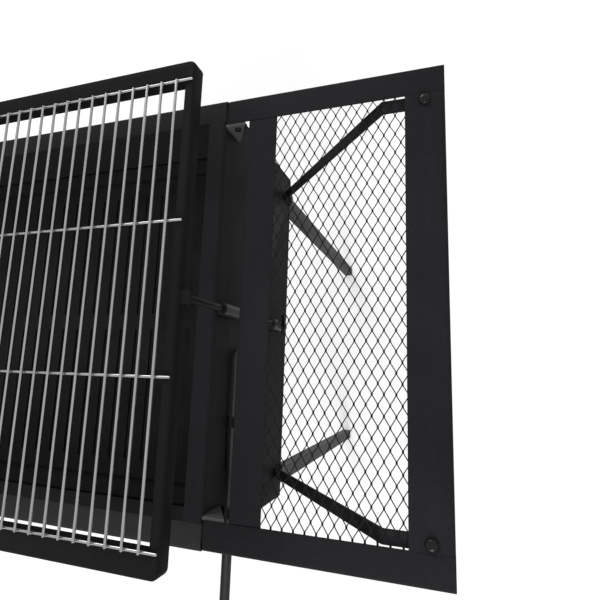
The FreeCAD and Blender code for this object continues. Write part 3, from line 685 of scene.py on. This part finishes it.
def build_grate():
    """Round wires with their ends rounded off, and a weld where two wires cross."""
    low = FRAME_TOP + WIRE / 2
    high = FRAME_TOP + WIRE * 1.5
    end_x = high_corner("grate_cross_wires").x
    end_y = high_corner("grate_cross_wires").y - Y_SHIFT - WIRE / 2
    rows = [end_y * (2 * row / (CROSS_WIRES - 1) - 1) for row in range(CROSS_WIRES)]
    columns = [(index - (LONG_WIRES - 1) / 2) * WIRE_PITCH for index in range(LONG_WIRES)]
    cross = bmesh.new()
    for y in rows:
        round_wire(cross, at(-end_x, y, low), at(end_x, y, low))
    add_piece("cross_wires_round", cross, "chrome_wire", "cooking_grate", "grate_cross_wires")
    along = bmesh.new()
    welds = bmesh.new()
    for x in columns:
        round_wire(along, at(x, rows[0] - FRONT_OVERHANG, high), at(x, rows[-1] + REAR_OVERHANG, high))
        for y in rows:
            spot_weld(welds, x, y)
    add_piece("long_wires_round", along, "chrome_wire", "cooking_grate", "grate_long_wires")
    add_piece("wire_welds", welds, "chrome_wire", "cooking_grate")


# Shelf mesh

MESH_MIDDLE = middle("right_shelf_mesh")
MESH_WIDTH = extent("right_shelf_mesh").x
MESH_HALF_Y = extent("right_shelf_mesh").y / 2
DIAMOND_X = 10.2
DIAMOND_Y = 18.0
STRAND_WIDE = 0.88
STRAND_THICK = 0.65
STRAND_LAP = 0.85
STRAND_TILT = math.radians(20)
BOND = 2.2


def strand_points(line, centre):
    """Middle line of one zigzag strand of the expanded mesh about a centre, in millimetres."""
    swing = (DIAMOND_X / 2 - STRAND_WIDE * STRAND_LAP) / 2
    half = DIAMOND_Y / 2
    points = []
    for peak in range(int(2 * MESH_HALF_Y / half) + 1):
        y = -MESH_HALF_Y + peak * half
        side = swing if (peak + line) % 2 else -swing
        for edge in (-BOND / 2, BOND / 2):
            if abs(y + edge) <= MESH_HALF_Y:
                points.append((centre + side, y + edge))
    return points


def strand_corners():
    """Corners of a strand's section, a flat strip a little turned about its own length."""
    cos = math.cos(STRAND_TILT)
    sin = math.sin(STRAND_TILT)
    corners = []
    for across, up in ((1, 1), (-1, 1), (-1, -1), (1, -1)):
        wide = across * STRAND_WIDE / 2
        thick = up * STRAND_THICK / 2
        corners.append((wide * cos - thick * sin, wide * sin + thick * cos))
    return corners


def mesh_strands(bm, side):
    """All strands of one shelf's mesh."""
    corners = strand_corners()
    lines = int(MESH_WIDTH / (DIAMOND_X / 2))
    start = MESH_MIDDLE.x - (lines - 1) * DIAMOND_X / 4
    for line in range(lines):
        rings = []
        for x, y in strand_points(line, start + line * DIAMOND_X / 2):
            rings.append([bm.verts.new(at(side * (x + dx), y, MESH_MIDDLE.z + dz)) for dx, dz in corners])
        join_rings(bm, rings)


def build_meshes():
    """The expanded mesh of both shelves."""
    for name, side in (("right", 1), ("left", -1)):
        bm = bmesh.new()
        mesh_strands(bm, side)
        add_piece(name + "_fine_mesh", bm, "black_paint", "firebox", name + "_shelf_mesh")


# Stage, light and camera, in metres

FLOOR_REACH = 12.0

# The floor as it lights the object and as it is seen, and its glow near the object and far from it
FLOOR_DIFFUSE = 0.4
FLOOR_SHOWN = 0.85
FLOOR_GLOW = (0.26, 0.5)
GLOW_DISTANCE = (1.0, 3.5)

# The surround as it lights the object and as it is seen
WORLD_LIGHT = 0.6
WORLD_SHOWN = 1.0

LIGHT_TARGET = Vector((0.1, 0.0, 0.7))
KEY_PLACE = Vector((0.6, -3.2, 2.5))
KEY_SIZE = 1.5
KEY_POWER = 65.0
FILL_PLACE = Vector((-1.0, 3.3, 2.3))
FILL_SIZE = 1.8
FILL_POWER = 55.0

# The camera fitted to the photograph
CAMERA_PLACE = at(522.511, -59.064, 1141.138)
CAMERA_RIGHT = Vector((0.95104775, 0.02976466, -0.30760728))
CAMERA_DOWN = Vector((-0.02129441, -0.98667408, -0.16130965))
CAMERA_FORWARD = Vector((-0.30830946, 0.15996349, -0.93774035))
CAMERA_LENS = 26.689
CAMERA_SENSOR = 36.0
CAMERA_NEAR = 0.01


def show_white(nodes, links):
    """One for rays from the camera and for those in reflections or through glass, else nought."""
    path = nodes.new("ShaderNodeLightPath")
    total = path.outputs["Is Camera Ray"]
    for name in ("Is Glossy Ray", "Is Transmission Ray"):
        total = combine(nodes, links, "MAXIMUM", total, path.outputs[name])
    return total


def floor_material():
    """Matt white that keeps the shadow, and glows towards the floor's edge to run into the surround."""
    material, nodes, links = new_tree("floor_white")
    output = nodes.new("ShaderNodeOutputMaterial")
    both = nodes.new("ShaderNodeAddShader")
    matt = nodes.new("ShaderNodeBsdfDiffuse")
    glow = nodes.new("ShaderNodeEmission")
    coordinate = nodes.new("ShaderNodeTexCoord")
    distance = nodes.new("ShaderNodeVectorMath")
    distance.operation = "LENGTH"
    links.new(coordinate.outputs["Object"], distance.inputs[0])
    seen = show_white(nodes, links)
    spread = remap(nodes, links, distance.outputs["Value"], *FLOOR_GLOW, *GLOW_DISTANCE)
    links.new(remap(nodes, links, seen, FLOOR_DIFFUSE, FLOOR_SHOWN, 0.0, 1.0), matt.inputs["Color"])
    links.new(combine(nodes, links, "MULTIPLY", seen, spread), glow.inputs["Strength"])
    links.new(matt.outputs["BSDF"], both.inputs[0])
    links.new(glow.outputs["Emission"], both.inputs[1])
    links.new(both.outputs["Shader"], output.inputs["Surface"])
    return material


def build_stage():
    """A plain pale floor."""
    mesh = bpy.data.meshes.new("floor")
    corners = [(FLOOR_REACH * x, FLOOR_REACH * y, 0) for x, y in ((-1, -1), (1, -1), (1, 1), (-1, 1))]
    mesh.from_pydata(corners, [], [(0, 1, 2, 3)])
    floor = bpy.data.objects.new("floor", mesh)
    bpy.context.scene.collection.objects.link(floor)
    mesh.materials.append(floor_material())


def build_world():
    """A white surround that lights the object softly."""
    world = bpy.data.worlds.new("surround")
    bpy.context.scene.world = world
    world.use_nodes = True
    nodes = world.node_tree.nodes
    links = world.node_tree.links
    nodes.clear()
    output = nodes.new("ShaderNodeOutputWorld")
    background = nodes.new("ShaderNodeBackground")
    background.inputs["Color"].default_value = (1, 1, 1, 1)
    strength = remap(nodes, links, show_white(nodes, links), WORLD_LIGHT, WORLD_SHOWN, 0.0, 1.0)
    links.new(strength, background.inputs["Strength"])
    links.new(background.outputs["Background"], output.inputs["Surface"])


def area_light(name, place, size, power):
    """A square soft light that faces the object."""
    light = bpy.data.lights.new(name, "AREA")
    light.size = size
    light.energy = power
    lamp = bpy.data.objects.new(name, light)
    bpy.context.scene.collection.objects.link(lamp)
    lamp.location = place
    lamp.rotation_euler = (LIGHT_TARGET - place).to_track_quat("-Z", "Y").to_euler()


def build_lights():
    """A large key light from the front and a fill from the rear left, both low enough to reach the rim."""
    area_light("key", KEY_PLACE, KEY_SIZE, KEY_POWER)
    area_light("fill", FILL_PLACE, FILL_SIZE, FILL_POWER)


def build_camera():
    """The photograph's viewpoint."""
    data = bpy.data.cameras.new("camera")
    data.sensor_width = CAMERA_SENSOR
    data.lens = CAMERA_LENS
    data.clip_start = CAMERA_NEAR
    camera = bpy.data.objects.new("camera", data)
    bpy.context.scene.collection.objects.link(camera)
    turn = Matrix((CAMERA_RIGHT, -CAMERA_DOWN, -CAMERA_FORWARD)).transposed()
    camera.matrix_world = Matrix.Translation(CAMERA_PLACE) @ turn.to_4x4()
    bpy.context.scene.camera = camera


dress_nodes()
build_soft_edges()
build_fasteners()
build_welds()
build_grate()
build_meshes()
build_stage()
build_world()
build_lights()
build_camera()
bpy.context.scene.view_settings.view_transform = "Standard"
